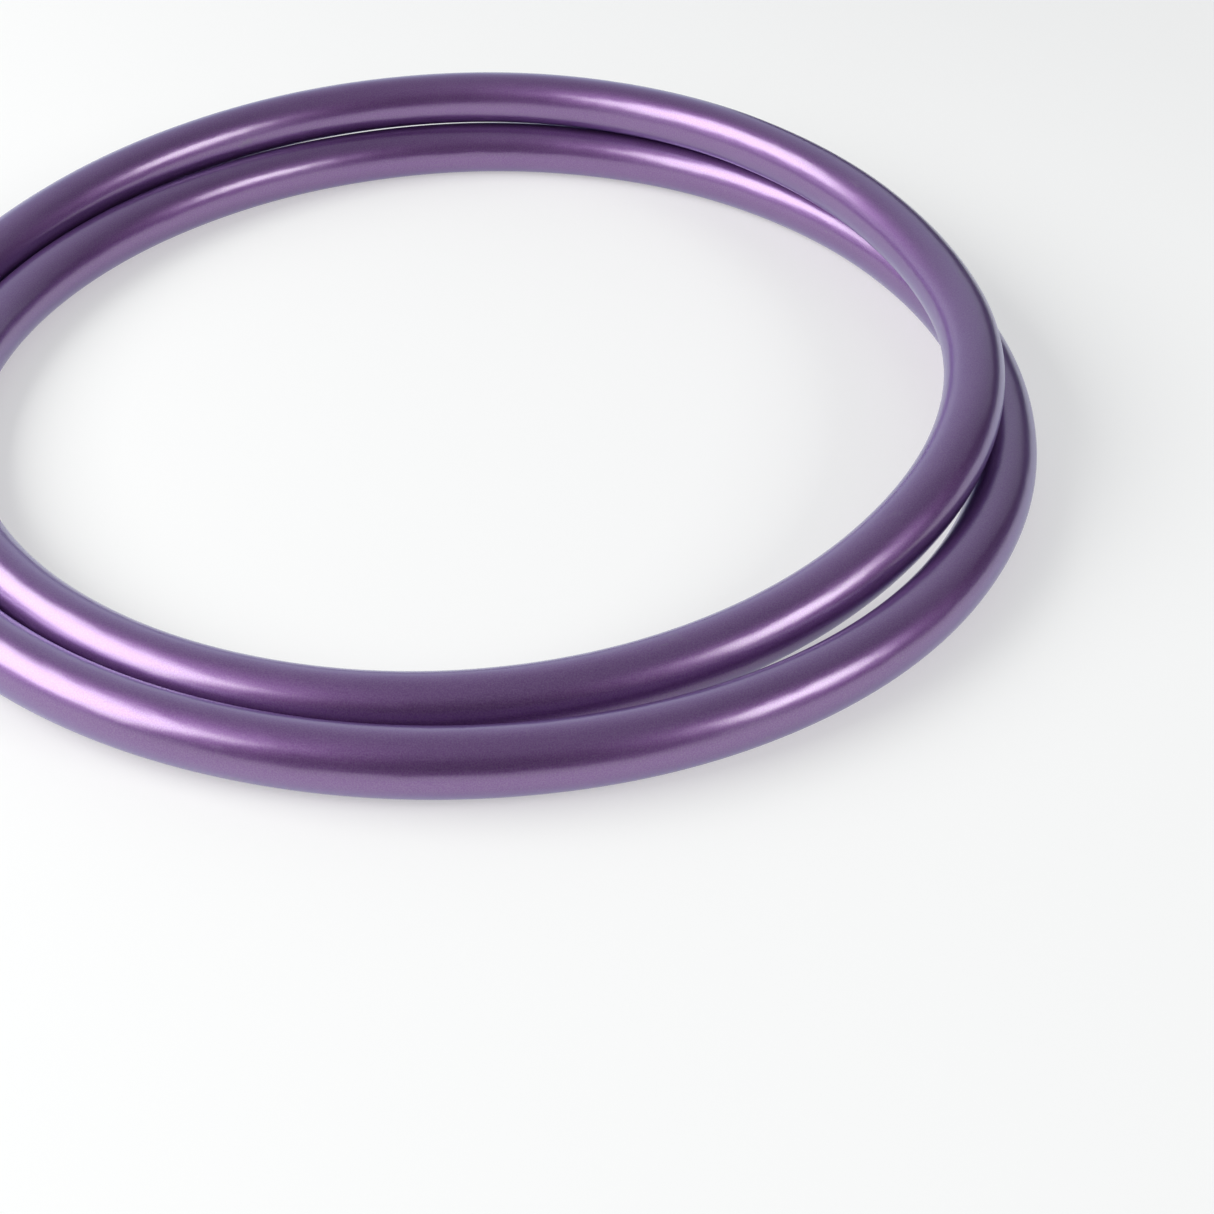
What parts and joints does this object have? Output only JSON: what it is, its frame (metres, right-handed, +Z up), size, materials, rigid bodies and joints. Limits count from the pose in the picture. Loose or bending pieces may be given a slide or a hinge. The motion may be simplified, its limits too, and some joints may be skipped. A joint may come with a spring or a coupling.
{
  "type": "round sling",
  "caption": "Endless round sling with a smooth violet polyurethane jacket over a woven liner and a core of parallel yarn, laid doubled into two laps.",
  "frame": {"origin": "middle of the sling's outline in plan, on the surface that it lies on", "axes": "+Z up; the loop lies flat in XY, with -Y its front, where the two laps lie side by side, and the jacket's joint near -X"},
  "size_m": [0.358, 0.3689, 0.0363],
  "materials": {
    "jacket": "satin, slightly pearly violet polyurethane",
    "insert": "plain",
    "liner": "woven polyester",
    "core_yarn": "parallel polyester filament",
    "tie_tape": "adhesive cloth tape"
  },
  "bodies": {
    "root": {"outer_jacket": "jacket", "joint_insert": "insert", "woven_liner": "liner", "core_strand_1": "core_yarn", "core_strand_2": "core_yarn", "core_strand_3": "core_yarn", "core_strand_4": "core_yarn", "core_strand_5": "core_yarn", "core_strand_6": "core_yarn", "core_strand_7": "core_yarn", "core_tie_1": "tie_tape", "core_tie_2": "tie_tape", "core_tie_3": "tie_tape", "core_tie_4": "tie_tape", "core_tie_5": "tie_tape", "core_tie_6": "tie_tape", "core_tie_7": "tie_tape", "core_tie_8": "tie_tape"}
  },
  "joints": []
}
